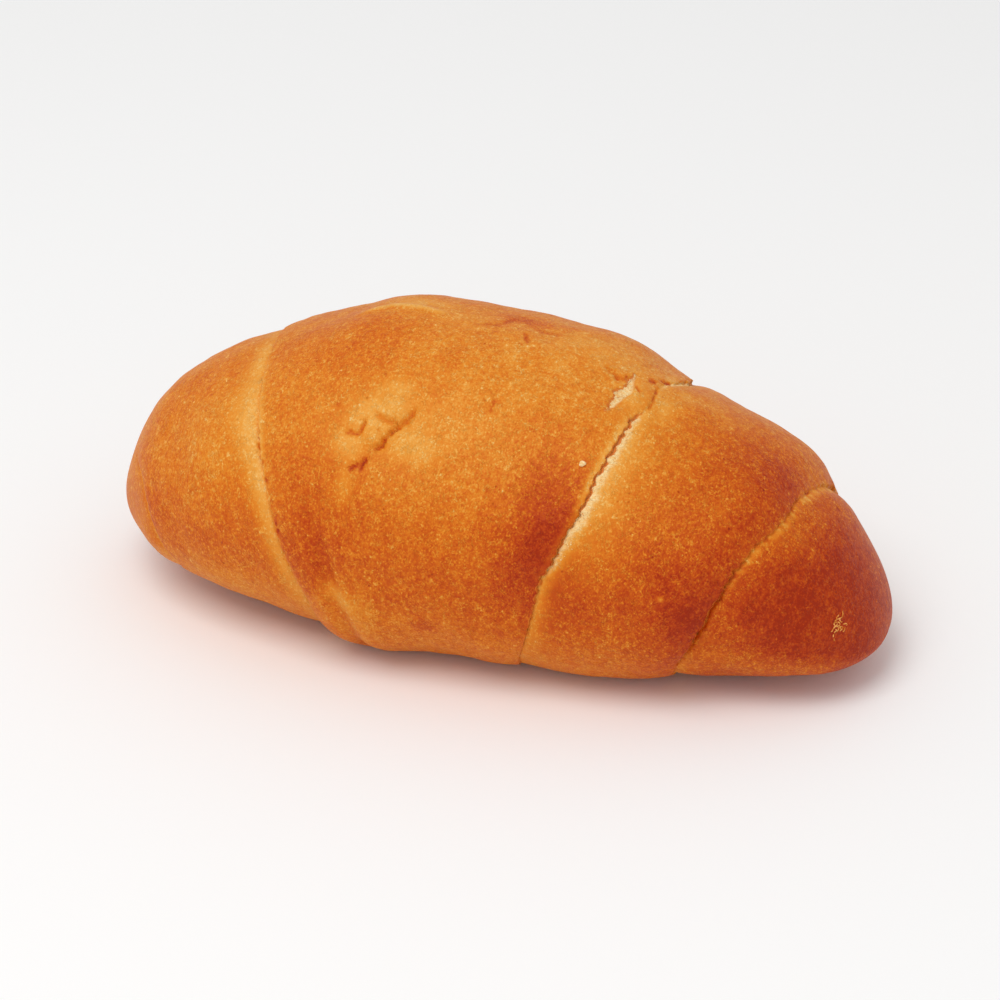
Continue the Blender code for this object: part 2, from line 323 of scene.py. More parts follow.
def unevenness(points, length, seed, waves=24):
    """Uneven height: a sum of plane waves of one length in random directions, about 1 high."""
    random = np.random.default_rng(seed)
    ways = random.normal(size=(waves, 3))
    ways = ways / np.linalg.norm(ways, axis=1, keepdims=True) * 2.0 * math.pi / length
    phases = random.uniform(0.0, 2.0 * math.pi, waves)
    return np.cos(points @ ways.T + phases).sum(axis=-1) / math.sqrt(waves / 2.0) / 2.0


def layered(points, layers):
    """Sum of uneven heights, each with its amount, wavelength in millimetres and seed."""
    return sum(amount * unevenness(points, length, seed) for amount, length, seed in layers)


def path_distance(x, degrees, path):
    """Distance over the skin to a path's nearest point, and that point's share of the path."""
    around = degrees * ONE_DEGREE_ROUND
    nodes = np.array(path) * (1.0, ONE_DEGREE_ROUND)
    steps = np.diff(nodes, axis=0)
    lengths = np.hypot(steps[:, 0], steps[:, 1])
    passed = np.concatenate([[0.0], np.cumsum(lengths)])
    nearest = np.full(x.shape, np.inf)
    share = np.zeros(x.shape)
    for number, (start, step) in enumerate(zip(nodes[:-1], steps)):
        ahead = (x - start[0]) * step[0] + (around - start[1]) * step[1]
        part = np.clip(ahead / lengths[number] ** 2, 0.0, 1.0)
        far = np.hypot(x - start[0] - part * step[0], around - start[1] - part * step[1])
        share = np.where(far < nearest, passed[number] + part * lengths[number], share)
        nearest = np.minimum(nearest, far)
    return nearest, share / passed[-1]


def tapered(share, ends=0.3):
    """1 along a path and easing to 0 at both of its ends."""
    return ease(share / ends) * ease((1.0 - share) / ends)


def crowded(count, length, crowds):
    """Places from 0 to 1 at equal shares of a density of 1 plus a bell at each crowd."""
    fine = np.linspace(0.0, 1.0, 4001)
    density = np.ones_like(fine)
    for at, width, gain in crowds:
        density = density + gain * bell((fine * length - at) / width)
    total = np.concatenate([[0.0], np.cumsum((density[1:] + density[:-1]) / 2.0)])
    return np.interp(np.linspace(0.0, total[-1], count + 1), total, fine)


# Angles of the rows, and for each row the places of the columns, which follow the folds
row_degrees = FIRST_TURN + 360.0 * crowded(ROWS, 360.0, ROW_CROWDS)[:-1]
lines = {name: fold_line(fold, row_degrees) for name, fold in FOLDS.items()}
stops = [np.zeros(ROWS), *(line for line, _ in lines.values()), np.ones(ROWS)]
parts = []
for number, (count, length, crowds) in enumerate(COLUMNS.values()):
    within = crowded(count, length, crowds)
    keep = within if number == len(COLUMNS) - 1 else within[:-1]
    parts.append(stops[number] + keep[:, None] * (stops[number + 1] - stops[number]))
along = np.concatenate(parts)
degrees = np.broadcast_to(row_degrees, along.shape)
turn = np.radians(degrees)
form = outer_form(along, turn)
normal, stretch = normals_and_stretch(along, turn)
wound_degrees = np.mod(degrees, 360.0)
form_x = form[..., 0]

# Signed distance from each fold, more than 0 over the lower turn, and the heights of the folds
beyond = {}
height = np.zeros(form_x.shape)
for seed, (name, fold) in enumerate(FOLDS.items()):
    line, shown = lines[name]
    distance = (along - line) * stretch * fold["side"]
    ragged = fold["ragged"] * ragged_edge(row_degrees, 11 + seed)
    distance = distance + ragged * bell(distance / RAGGED_REACH)
    beyond[name] = distance
    lip = round_the_roll(row_degrees, fold["lip"])
    drop = round_the_roll(row_degrees, fold["drop"])
    back = np.clip(-distance - fold["lip_reach"], 0.0, None)
    soft = round_the_roll(row_degrees, fold["soft"])
    bulge = rounded(-distance / fold["lip_reach"], soft) * bell(back / LIP_SPREAD / math.sqrt(2.0))
    sunk = 1.0 - rounded(distance / fold["drop_reach"], soft)
    crease_at, crease_width, depths = fold["crease"]
    crease = round_the_roll(row_degrees, depths) * bell((distance - crease_at) / crease_width)
    height = height + shown * (np.where(distance < 0.0, lip * bulge, -drop * sunk) - crease)


def angle_from(at):
    """Angle round the roll from a place, from -180 to 180 degrees."""
    return np.mod(wound_degrees - at + 180.0, 360.0) - 180.0


def with_patches(values, patches, joined=np.add):
    """Values joined with bells, each a place along and round, two half sizes and an amount."""
    for x, at, half_x, half_round, amount in patches.values():
        far = np.hypot((form_x - x) / half_x, angle_from(at) / half_round)
        values = joined(values, amount * bell(far))
    return values


height = with_patches(height, SWELLS)

# The pleat that runs down from the left fold. Then low ridges beside it and on the crown: path,
# half width, height, paleness and the share over which each end fades
PLEAT = ((-27.2, 152.8), (-25, 160.2), (-23.1, 168), (-21.2, 177.8), (-20.2, 188.5),
         (-19, 198.5), (-17.8, 210), (-16.5, 224))
PLEAT_HALF = 1.6
PLEAT_DEPTH = 1.15
RIDGES = (
    (((-21.2, 179), (-20, 188.1), (-18.9, 191.6), (-17.8, 195.2), (-16.7, 198.9),
      (-15, 205)), 2.3, 0.24, 0.72, 0.5),
    (((-28.5, 86.8), (-24.9, 85.2), (-21, 83.6), (-16.7, 84), (-12.3, 85.4), (-9.6, 88.5)),
     0.85, 0.40, 1, 0.25),
)
far, share = path_distance(form_x, wound_degrees, PLEAT)
pleat = bell(far / PLEAT_HALF) * ease(share / 0.5)
height = height - PLEAT_DEPTH * pleat
ridge_paleness = np.zeros(form_x.shape)
for path, width, rise, paleness, ends in RIDGES:
    far, share = path_distance(form_x, wound_degrees, path)
    ridge = bell(far / width) * tapered(share, ends)
    height = height + rise * ridge
    ridge_paleness = np.maximum(ridge_paleness, paleness * ridge)

STROKE_WANDER = ((0.16, 1.5, 6), (0.07, 0.8, 7))
# Darker colour by the creases, slits and pits: painted shade in them, and the smudges' own colour
crease_shade_and_marks = np.zeros(form_x.shape)
wander = layered(form, STROKE_WANDER)
for path, width, depth, darkness in STROKES.values():
    far, share = path_distance(form_x, wound_degrees, path)
    line_there = bell((far + wander) / width) * tapered(share)
    height = height - depth * line_there
    crease_shade_and_marks = np.maximum(crease_shade_and_marks, darkness * line_there)
for x, at, radius, depth, darkness in PITS:
    far = np.hypot(form_x - x, angle_from(at) * ONE_DEGREE_ROUND)
    height = height - depth * bell(far / radius)
    crease_shade_and_marks = np.maximum(crease_shade_and_marks, darkness * bell(far / radius))

from_left = form_x - np.interp(wound_degrees, *zip(*TEAR_LEFT))
from_right = np.interp(wound_degrees, *zip(*TEAR_RIGHT)) - form_x
tear = ease((wound_degrees - TEAR_ENDS[0]) / 2.0) * ease((TEAR_ENDS[1] - wound_degrees) / 2.0)
torn_out = tear * ease((from_left + 0.1) / 0.35) * ease((from_right + 0.15) / 0.7)
height = height - TEAR_DEPTH * torn_out

# Uneven dough all over, which dies away at the two ends
UNEVEN_DOUGH = ((0.24, 17.0, 3), (0.07, 6.0, 4), (0.03, 2.6, 5))
SMOOTH_ENDS = 0.96
body = ease((SMOOTH_ENDS - np.abs(form_x) / (LENGTH / 2.0)) / 0.1)
height = height + body * layered(form, UNEVEN_DOUGH)
points = form + height[..., None] * normal
points[..., 2] = np.where(
    points[..., 2] < -BASE_EASE, 0.0,
    np.where(points[..., 2] > BASE_EASE, points[..., 2],
             (points[..., 2] + BASE_EASE) ** 2 / (4.0 * BASE_EASE)),
)
points[..., 1] += SET_BACK

# Where the skin is open, at the long crack, the short tear, the right-hand seam and in dots on the
# left fold: how far each point lies past the opening's upper edge, how much torn dough shows
# there, and the half width of the gap along that edge, which closes in places. The gap is painted
# dark brown: painted shade where the edge shades the opening, and partly the brown crust edge
CRACK_WIDTH = ((101, 0), (110, 1.2), (125, 1.8), (142, 2.1), (152, 1.9), (160, 1.4), (168, 0.9),
               (176, 0.5), (230, 0.3))
CRACK_TORN = ((104, 0), (109, 0.80), (146, 0.85), (156, 0.66), (166, 0.46), (176, 0.15), (184, 0))
NOTCH_TORN = 0.85
TEAR_TORN = 0.80
CRACK_GAP_SHADE = ((104, 0), (108, 0.16), (113, 0.31), (124, 0.33), (132, 0.26), (146, 0.25),
             (149, 0.09), (155, 0.09), (158, 0.18), (166, 0.15), (172, 0.10), (180, 0.07),
             (188, 0.09), (214, 0.08), (222, 0.16), (235, 0))
SEAM_GAP_SHADE = ((60, 0), (80, 0.08), (98, 0.08), (106, 0), (150, 0), (163, 0.10), (170, 0.17),
            (190, 0.17), (200, 0.08), (210, 0))
LEFT_GAP_SHADE = ((128, 0), (134, 0.20), (148, 0.20), (154, 0), (160, 0), (165, 0.22), (192, 0.22),
            (200, 0))
TEAR_GAP_SHADE = 0.16
GAP_SHADE_REACH = 1.6
crack = beyond["right_outer"]
inner = beyond["right_inner"]
outer_line = beyond["left_outer"]
far_left = beyond["left_inner"]
crack_shown = lines["right_outer"][1]
in_tear = (from_right > -1.0) & (from_left > -2.0) & (tear > 0.0)
at_crack = crack_shown * (np.abs(crack) < 5.0) * ~in_tear
past_edge = np.where(in_tear, from_left, np.where(np.abs(crack) < np.abs(inner), crack, inner))
past_edge = np.where(np.abs(outer_line) < np.abs(past_edge), outer_line, past_edge)
past_edge = np.clip(past_edge, -3.0, 6.0)
crack_width = np.interp(wound_degrees, *zip(*CRACK_WIDTH))
band_end = crack_width * (1.0 + 0.30 * ragged_edge(row_degrees, 23, first=8, last=90))
band = ease((band_end + 0.8 - crack) / (0.8 * band_end + 0.6))
notch = NOTCH_TORN * bell((crack - 0.45) / 0.60) * bell((wound_degrees - 75.0) / 14.0)
torn = round_the_roll(wound_degrees, CRACK_TORN) * at_crack * band
torn = np.maximum(torn, notch * at_crack)
torn = np.maximum(torn, TEAR_TORN * tear * in_tear * ease((from_right + 0.2) / 0.9))
dotted = ease(1.8 * ragged_edge(row_degrees, 41, first=40, last=120))
# Half width of the painted shade in the gap along each edge, with the brown of the torn edge
gap = TEAR_GAP_SHADE * in_tear * tear * ease(1.2 - np.abs(from_left)) * ease((from_right - 0.1) / 0.5)
for widths, distance, shown in ((CRACK_GAP_SHADE, crack, at_crack), (LEFT_GAP_SHADE, outer_line, dotted),
                                (SEAM_GAP_SHADE, inner, lines["right_inner"][1])):
    near = ease(GAP_SHADE_REACH - np.abs(distance))
    gap = gap + round_the_roll(wound_degrees, widths) * shown * near
gap = gap * (0.35 + 0.65 * ease(0.75 + 0.8 * ragged_edge(row_degrees, 17, first=20, last=100)))

# Pale dough that the edges shaded in the oven: right of the crack, on its left rim, on both sides
# of the left fold, on the tip just below its seam, and in spots. First how pale by the angle
# round the roll, and for the left fold the two half widths of its band
PALE_BY_ANGLE = {
    "crack": ((80, 0.55), (100, 0.6), (115, 1), (155, 1.05), (175, 0.85), (225, 0.45), (0, 0.5)),
    "rim": ((104, 0), (114, 0.806), (138, 0.754), (150, 0.39), (170, 0.325), (180, 0)),
    "left_fold": ((80, 0.55), (112, 0.75), (135, 1.05), (152, 0.90), (168, 0.82), (200, 0.62),
                  (0, 0.5)),
    "half_under": ((90, 3.2), (130, 5.2), (160, 3.8), (190, 4.4), (0, 2.5)),
    "half_over": ((95, 0.7), (118, 1.5), (140, 1.7), (158, 0.8), (190, 1.2), (0, 0.8)),
    "seam": ((30, 0.6), (84, 0.60), (100, 0.50), (112, 0.42), (122, 0.55), (134, 0.40),
             (150, 0.40), (160, 0.25), (186, 0.15), (200, 0.35), (230, 0.6)),
}
by_angle = {name: round_the_roll(wound_degrees, pairs) for name, pairs in PALE_BY_ANGLE.items()}
past_band = np.clip(crack - 0.6 * crack_width, 0.0, None)
pale = by_angle["crack"] * np.where(crack > 0.0, np.exp(-past_band / 3.1), 0.0) * crack_shown
pale = np.maximum(pale, by_angle["rim"] * bell((crack + 0.50) / 0.90))
half_band = np.where(outer_line > 0.3, by_angle["half_under"], by_angle["half_over"])
pale = np.maximum(pale, by_angle["left_fold"] * bell((outer_line - 0.3) / half_band))
uneven_seam = 1.0 + 0.70 * ragged_edge(row_degrees, 31, first=10, last=90)
pale = np.maximum(pale, by_angle["seam"] * uneven_seam * bell((inner - 0.70) / 1.20))
left_line = 0.75 * bell((far_left - 0.3) / 0.5) + 0.35 * ease(far_left / 1.5)
pale = np.maximum(pale, left_line * lines["left_inner"][1])
PALE_SPOTS = {
    "dimple": (-14.5, 131, 8, 11, 0.85),
    "dimple_left": (-19.5, 139, 4, 8, 0.72),
    "dimple_above": (-13.7, 121.5, 4.5, 5, 0.72),
    "dimple_right": (-8.5, 138, 5.5, 7, 0.75),
    "dimple_trail": (-18.8, 153, 2.2, 8, 0.50),
    "above_crease": (-13.2, 126.4, 2.2, 3.6, 0.85),
    "crown_right": (13, 84, 7, 9, 0.35),
    "above_ridge": (-17, 79.5, 7.5, 5, 0.66),
    "crown_fleck": (-9.4, 102, 0.7, 0.9, 0.7),
    "between_tears": (25, 101, 3.2, 10, 0.62),
    "above_tear": (22.5, 86, 3, 4, 0.4),
    "below_notch": (29.8, 99, 2.2, 10, 0.66),
    "right_of_notch": (31.6, 86, 1.6, 5, 0.6),
    "notch": (28.6, 80, 1.2, 7, 0.8),
    "on_right_fold": (49, 141.5, 0.8, 3, 0.7),
    "smear_low": (-24.6, 215, 3, 8, 0.4),
    "blister": (36, 168, 0.7, 1.1, 0.8),
    "upper_left_end": (-54, 95, 5, 6, 0.35),
    "left_rim": (-66, 190, 5, 30, 0.35),
}
pale = np.maximum(with_patches(pale, PALE_SPOTS, np.maximum), ridge_paleness)

# How brown the oven baked it, from 0, pale, to 1: most on the tip and low on the front. Left of
# the long crack it is partly painted shade, on the crust's slope down to the crack's lip
BROWNED_AND_SHADED = {
    "low_front": (0, 178, 400, 34, 0.24),
    "underside": (0, 270, 400, 42, 0.22),
    "low_back": (0, 350, 400, 40, 0.12),
    "back": (-8, 28, 60, 34, 0.10),
    "below_middle": (-5, 164, 8, 10, -0.06),
    # Partly browning and partly painted shade on the slope down to the crack's lip
    "left_of_crack": (18, 158, 7.5, 26, 0.36),
    "beside_pleat": (-25, 164, 4, 24, 0.08),
    "middle": (-3, 138, 12, 22, -0.08),
    "crown_left": (-25, 102, 15, 22, 0.12),
    "crown_right": (17, 86, 11, 18, -0.08),
    "crown_smudge": (2, 78.5, 5, 4, 0.26),
    "left_end": (-55, 112, 10, 30, 0.07),
    "left_low": (-44, 186, 9, 12, 0.05),
    "left_foot": (-42, 204, 14, 22, -0.14),
    "beside_pleat_foot": (-16, 197, 4.5, 14, -0.17),
    "foot_between": (0, 205, 9, 12, -0.04),
    "right_of_crack": (25, 150, 4, 24, -0.14),
    "left_turn": (-46, 150, 9, 26, -0.11),
    "right_turn": (42, 116, 10, 44, 0.21),
    "right_turn_crown": (41, 84, 7, 14, -0.07),
    "right_turn_front": (37, 168, 9, 24, 0.12),
    "crack_foot": (22.8, 166, 4, 12, -0.12),
    "crown_middle": (-13, 88, 9, 9, -0.05),
    "above_seam": (49, 95, 7, 26, 0.22),
    "crack_right": (25, 141, 4, 12, -0.04),
    "foot_spot": (-3.6, 200.5, 1.8, 3, 0.20),
}
MEAN_BROWNING = 0.45
# Beside the right-hand seam, most on the lip side: partly browning, partly painted shade
BESIDE_SEAM = 0.14
browning = with_patches(np.full(form_x.shape, MEAN_BROWNING), BROWNED_AND_SHADED)
browning = browning + BESIDE_SEAM * np.where(inner < 0.0, bell(inner / 6.5), bell(inner / 0.5))
# The tip is browner, most of all round a point on its front
BROWNEST_ON_TIP = (61.0, -18.0, 19.0)
BROWNEST_REACH = 14.0
TIP_BROWNING = 0.70
BROWNEST_GAIN = 0.28
MOST_BROWNED = 0.93
BROWNED_ON_TIP = {
    "beside_fold": (50, 164, 5, 14, 0.10),
    "above_middle": (53.5, 116, 4.5, 16, -0.07),
    "middle": (56, 141, 5, 10, 0.06),
    "foot": (54, 206, 12, 14, -0.14),
    "end": (71, 150, 7, 400, 0.14),
    "end_top": (62.5, 96, 4.5, 34, 0.10),
}
from_brownest = np.linalg.norm(points - BROWNEST_ON_TIP, axis=-1)
tip_browning = TIP_BROWNING + BROWNEST_GAIN * bell(from_brownest / BROWNEST_REACH)
tip_browning = with_patches(tip_browning, BROWNED_ON_TIP)
tip_there = np.where(inner > 0.0, 1.0 - np.exp(-inner / 1.8), 0.0)
browning = browning + tip_there * (tip_browning - browning)
# The pleat's groove: partly browner crust, partly painted shade in the groove
browning = np.clip(browning + 0.06 * pleat, 0.0, MOST_BROWNED)


def closed_net(rings, sides):
    """Faces of a net of rings: quads between each two, and a fan from a last point at each end."""
    corner = np.arange(rings * sides).reshape(rings, sides)
    after = np.roll(corner, -1, axis=1)
    walls = np.stack([corner[:-1], after[:-1], after[1:], corner[1:]], axis=-1).reshape(-1, 4)
    first = np.stack([np.full(sides, corner.size), after[0], corner[0]], axis=-1)
    last = np.stack([np.full(sides, corner.size + 1), corner[-1], after[-1]], axis=-1)
    return walls, np.concatenate([first, last])


def on_points(values):
    """Values of a grid as one list for the mesh: all inner rings, then the two tips."""
    return np.concatenate([values[1:-1].reshape(-1, *values.shape[2:]), values[[0, -1], 0]])


def add_attribute(mesh, name, values):
    """Stores one number or one vector for each point of a mesh."""
    kind, field = ("FLOAT_VECTOR", "vector") if values.ndim == 2 else ("FLOAT", "value")
    layer = mesh.attributes.new(name, kind, "POINT")
    layer.data.foreach_set(field, values.astype(np.float32).ravel())


def placed(name, data):
    """A new object in the scene that holds a mesh, a lamp or a camera."""
    made = bpy.data.objects.new(name, data)
    bpy.context.scene.collection.objects.link(made)
    return made


# The net has a ring of points for every column but the two at the tips, which are single points
crust_mesh = bpy.data.meshes.new("crust")
walls, ends = closed_net(len(along) - 2, ROWS)
crust_mesh.from_pydata(
    (on_points(points) * METRES).tolist(), [], walls.tolist() + ends.tolist()
)
crust_mesh.shade_smooth()
position = np.cumsum(
    np.concatenate([[0.0], np.linalg.norm(np.diff(points[:, ROWS // 2], axis=0), axis=-1)])
)
winding = np.stack([np.broadcast_to(position[:, None], form_x.shape), points[..., 1],
                    points[..., 2]], axis=-1)
for name, values in (("browning", browning), ("pale", pale), ("torn", torn), ("gap", gap),
                     ("past_edge", past_edge), ("crease", crease_shade_and_marks), ("winding", winding)):
    add_attribute(crust_mesh, name, on_points(values))

# Its flat map: along the roll and once round it, cut open under the roll
u = position / position[-1]
v = (row_degrees - FIRST_TURN) / 360.0
v_after = np.append(v[1:], 1.0)
v_half = (v + v_after) / 2.0
u_left, u_right = u[1:-2, None], u[2:-1, None]


def flat_corners(*corners):
    """Places of faces on the flat map, from the place along and round of each corner in turn."""
    places = [np.stack(np.broadcast_arrays(*corner), axis=-1) for corner in corners]
    return np.stack(places, axis=-2).reshape(-1, 2)


flat_places = np.concatenate([
    flat_corners((u_left, v), (u_left, v_after), (u_right, v_after), (u_right, v)),
    flat_corners((0.0, v_half), (u[1], v_after), (u[1], v)),
    flat_corners((1.0, v_half), (u[-2], v), (u[-2], v_after)),
])
flat_map = crust_mesh.uv_layers.new(name="OFBake")
flat_map.data.foreach_set("uv", flat_places.astype(np.float32).ravel())
crust = placed("crust", crust_mesh)


class Socket:
    """An output socket of a material, on which arithmetic adds Math nodes."""

    def __init__(self, tree, output=None):
        self.tree = tree
        self.output = output

    def node(self, kind, settings, sockets, output=0):
        """Adds a node: its settings, or a ramp's stops, then its sockets' values or links."""
        made = self.tree.nodes.new("ShaderNode" + kind)
        for name, value in settings.items():
            if name == "stops":
                for place, colour in value[2:]:
                    made.color_ramp.elements.new(place)
                for element, (place, colour) in zip(made.color_ramp.elements, value):
                    element.position = place
                    element.color = (*colour, 1.0)
            else:
                setattr(made, name, value)
        for name, value in sockets.items():
            if isinstance(value, Socket):
                self.tree.links.new(value.output, made.inputs[name])
            else:
                made.inputs[name].default_value = value
        return Socket(self.tree, made.outputs[output])

    def maths(self, operation, first, second=0.0):
        return self.node("Math", {"operation": operation}, {0: first, 1: second})

    def __add__(self, other):
        return self.maths("ADD", self, other)

    __radd__ = __add__

    def __sub__(self, other):
        return self.maths("SUBTRACT", self, other)

    def __rsub__(self, other):
        return self.maths("SUBTRACT", other, self)

    def __mul__(self, other):
        return self.maths("MULTIPLY", self, other)

    __rmul__ = __mul__

    def __abs__(self):
        return self.maths("ABSOLUTE", self)

    def eased(self, low, high):
        """Smooth step of this value from 0 at low to 1 at high."""
        return self.node("MapRange", {"interpolation_type": "SMOOTHSTEP"},
                         {"Value": self, "From Min": low, "From Max": high})

    def mixed(self, first, second):
        """Mix of two colours with this value as the factor."""
        ends = {place: (*colour, 1.0) if isinstance(colour, tuple) else colour
                for place, colour in ((6, first), (7, second))}
        return self.node("Mix", {"data_type": "RGBA"}, {0: self, **ends}, 2)

    def noise(self, place, scale, detail=2.0, distortion=0.0):
        """Noise of about 0 to 1 at a place in millimetres, with scale waves for each."""
        return self.node("TexNoise", {}, {"Vector": place, "Scale": scale, "Detail": detail,
                                          "Distortion": distortion})

    def attribute(self, name, output=2):
        """An attribute of the mesh: output 2 is a number and 1 a vector."""
        return self.node("Attribute", {"attribute_name": name}, {}, output)

    def place(self):
        """The place on the piece in millimetres."""
        return self.node("VectorMath", {"operation": "SCALE"},
                         {0: self.node("TexCoord", {}, {}, 3), "Scale": 1.0 / METRES})

    def mapped(self, settings):
        """This vector moved or scaled, so that a pattern there is moved or stretched."""
        return self.node("Mapping", {}, {"Vector": self, **settings})

    def into(self, shader, name):
        """Links this value to a socket of a shader node."""
        self.tree.links.new(self.output, shader.inputs[name])


def finish_of(name):
    """A new material with its nodes: the material, its shader node and a start for sockets."""
    material = bpy.data.materials.new(name)
    material.use_nodes = True
    return material, material.node_tree.nodes["Principled BSDF"], Socket(material.node_tree)


BAKED = (
    (0.00, (0.90, 0.60, 0.260)), (0.15, (0.87, 0.47, 0.120)), (0.30, (0.81, 0.335, 0.045)),
    (0.45, (0.75, 0.235, 0.015)), (0.60, (0.67, 0.152, 0.006)), (0.75, (0.56, 0.086, 0.003)),
    (0.90, (0.45, 0.042, 0.002)), (1.00, (0.34, 0.022, 0.001)),
)
CRUMB_LIGHT = (0.97, 0.74, 0.38)
CRUMB_SHADE = (0.93, 0.58, 0.22)
# Painted shade in the openings' gaps, with the brown of the crust's torn edge
GAP_SHADE_AND_BROWN = (0.72, 0.18, 0.016)
RELIEF_DEPTH = 0.00022

golden, shader, start = finish_of("golden_crust")
object_mm = start.place()
wound_mm = start.attribute("winding", 1)
stretched = object_mm.mapped({"Scale": (1.12, 0.95, 0.95)})
mottle = start.noise(object_mm, 0.20, 3.0)
fine_mottle = start.noise(stretched, 0.9, 2.0)
grain = start.noise(stretched, 2.6, 2.0)
streaks = start.noise(wound_mm.mapped({"Scale": (0.32, 0.07, 0.07)}), 1.0, 2.0)


def specks(place, scale, small, large, rarity):
    """Round specks: near the centres of Voronoi cells, in those cells whose colour is high."""
    near = start.node("TexVoronoi", {}, {"Vector": place, "Scale": scale})
    own = start.node("TexVoronoi", {}, {"Vector": place, "Scale": scale}, 1)
    chosen = start.node("SeparateColor", {}, {"Color": own})
    return (1.0 - near.eased(small, large)) * chosen.eased(rarity, rarity + 0.08)


def threads(offset, scale, width, distortion, breaks_offset, breaks_scale, low, high):
    """Curved threads: where a noise is near its middle value and a second noise is high."""
    line = start.noise(stretched.mapped({"Location": offset}), scale, 0.0, distortion)
    breaks = start.noise(object_mm.mapped({"Location": breaks_offset}), breaks_scale, 1.0)
    return (1.0 - abs(line - 0.5).eased(0.0, width)) * breaks.eased(low, high)


speck = specks(stretched, 0.85, 0.10, 0.40, 0.55)
small_speck = specks(stretched, 1.9, 0.12, 0.45, 0.45)
thread = threads((0.0, 0.0, 0.0), 0.60, 0.042, 1.3, (0.0, 0.0, 0.0), 0.55, 0.44, 0.58)
thread = thread + threads((31.0, 17.0, 5.0), 0.80, 0.050, 1.6, (9.0, 4.0, 2.0), 0.7, 0.44, 0.60)
short_thread = threads((7.0, 3.0, 41.0), 1.25, 0.080, 0.8, (5.0, 8.0, 1.0), 1.1, 0.42, 0.60)
pore = specks(object_mm, 0.55, 0.05, 0.15, 0.74)

# Browning, with painted shade left of the crack, beside the right-hand seam and in the pleat
browned_and_shaded = start.attribute("browning")
pale_there = start.attribute("pale") + 0.45 * (fine_mottle - 0.5) + 0.35 * (grain - 0.5)
pale_there = pale_there.eased(0.05, 1.05)
level = browned_and_shaded - pale_there * (0.92 * browned_and_shaded - 0.18)
pattern = 0.20 * (mottle - 0.5) + 0.36 * (fine_mottle - 0.5) + 0.44 * (grain - 0.5)
pattern = pattern + 0.16 * (streaks - 0.5) + 0.14 * pore + 0.04
pale_bits = 0.16 * speck + 0.20 * small_speck + 0.22 * thread + 0.17 * short_thread
pattern = pattern - pale_bits * (0.55 + 0.62 * browned_and_shaded) * (1.0 - 0.5 * browned_and_shaded.eased(0.78, 0.96))
level = level + pattern * (1.0 - 0.35 * pale_there) * (1.0 - 0.12 * browned_and_shaded.eased(0.70, 0.95))
# Painted shade in the creases, slits and pits, with the smudges' and spots' own darker colour
level = level + 0.62 * start.attribute("crease")
colour = start.node("ValToRGB", {"stops": BAKED}, {0: level})
fibre = start.noise(wound_mm.mapped({"Scale": (1.3, 2.3, 2.3)}), 1.0, 3.0, 1.2)
past_edge_mm = start.attribute("past_edge") + 0.9 * (fine_mottle - 0.5) + 0.5 * (grain - 0.5)
torn_there = (start.attribute("torn") + 0.50 * (fibre - 0.5) + 0.35 * (fine_mottle - 0.5)).eased(
    0.18, 0.95) * past_edge_mm.eased(-0.08, 0.12)
crumb_colour = fibre.eased(0.32, 0.62).mixed(CRUMB_SHADE, CRUMB_LIGHT)
colour = torn_there.mixed(colour, crumb_colour)
# The gap along each opening's edge: painted shade, partly the brown torn crust edge
half_gap_shade = start.attribute("gap")
outside = abs(past_edge_mm - half_gap_shade + 0.08) - half_gap_shade - 0.08
gap_shade_there = (1.0 - outside.eased(-0.05, 0.09)) * half_gap_shade.eased(0.0, 0.10)
colour = (0.9 * gap_shade_there).mixed(colour, GAP_SHADE_AND_BROWN)
colour.into(shader, "Base Color")
rough = 0.56 + 0.12 * (grain - 0.5) + 0.30 * torn_there - 0.14 * browned_and_shaded
rough.into(shader, "Roughness")
relief = 0.5 * grain + 0.6 * fine_mottle + 0.15 * speck + 0.10 * small_speck + 0.20 * thread
relief = relief + 0.8 * fibre * torn_there - 0.5 * pore + 0.8 * mottle
bump = start.node("Bump", {}, {"Strength": 1.0, "Distance": RELIEF_DEPTH, "Height": relief})
bump.into(shader, "Normal")
shader.inputs["Specular IOR Level"].default_value = 0.14
crust_mesh.materials.append(golden)
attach(crust, "root")
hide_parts("roll")

# The torn fibres: strands of milk dough that stretched across the long crack as it opened in the
# oven, and a few on the short tear. Each hangs from the upper edge to the torn band.
slope_x, slope_round = np.gradient(points, axis=0), np.gradient(points, axis=1)
outward = np.cross(slope_round, slope_x)
outward = outward / np.maximum(np.linalg.norm(outward, axis=-1, keepdims=True), 1e-9)
crack_x = -np.cos(math.pi * lines["right_outer"][0]) * LENGTH / 2.0


def on_skin(x, at):
    """Points of the crust at places along and round it, and the ways outward there.

    Each is the mean of the four nearest points of the net, weighted by how near they are.
    """
    at = np.mod(at - FIRST_TURN, 360.0) + FIRST_TURN
    row = np.searchsorted(row_degrees, at, side="right") - 1
    part = (at - row_degrees[row]) / (np.append(row_degrees, FIRST_TURN + 360.0)[row + 1]
                                      - row_degrees[row])
    spot, out = np.zeros((2, at.size, 3))
    for near, weight in ((row, 1.0 - part), ((row + 1) % ROWS, part)):
        column = np.clip((form_x[:, near] < x).sum(axis=0), 1, len(form_x) - 1)
        before = form_x[column - 1, near]
        share = (x - before) / (form_x[column, near] - before)
        for index, amount in ((column - 1, 1.0 - share), (column, share)):
            spot = spot + (weight * amount)[:, None] * points[index, near]
            out = out + (weight * amount)[:, None] * outward[index, near]
    return spot, out


def beside_crack(distance, at):
    """Place along the roll at a distance to the right of the long crack."""
    return distance + np.interp(at, row_degrees, crack_x, period=360.0)


def across_tear(share, at):
    """Place along the roll at a share of the way across the short tear, from its left edge."""
    left, right = (np.interp(at, *zip(*edge)) for edge in (TEAR_LEFT, TEAR_RIGHT))
    return left + share * (right - left)


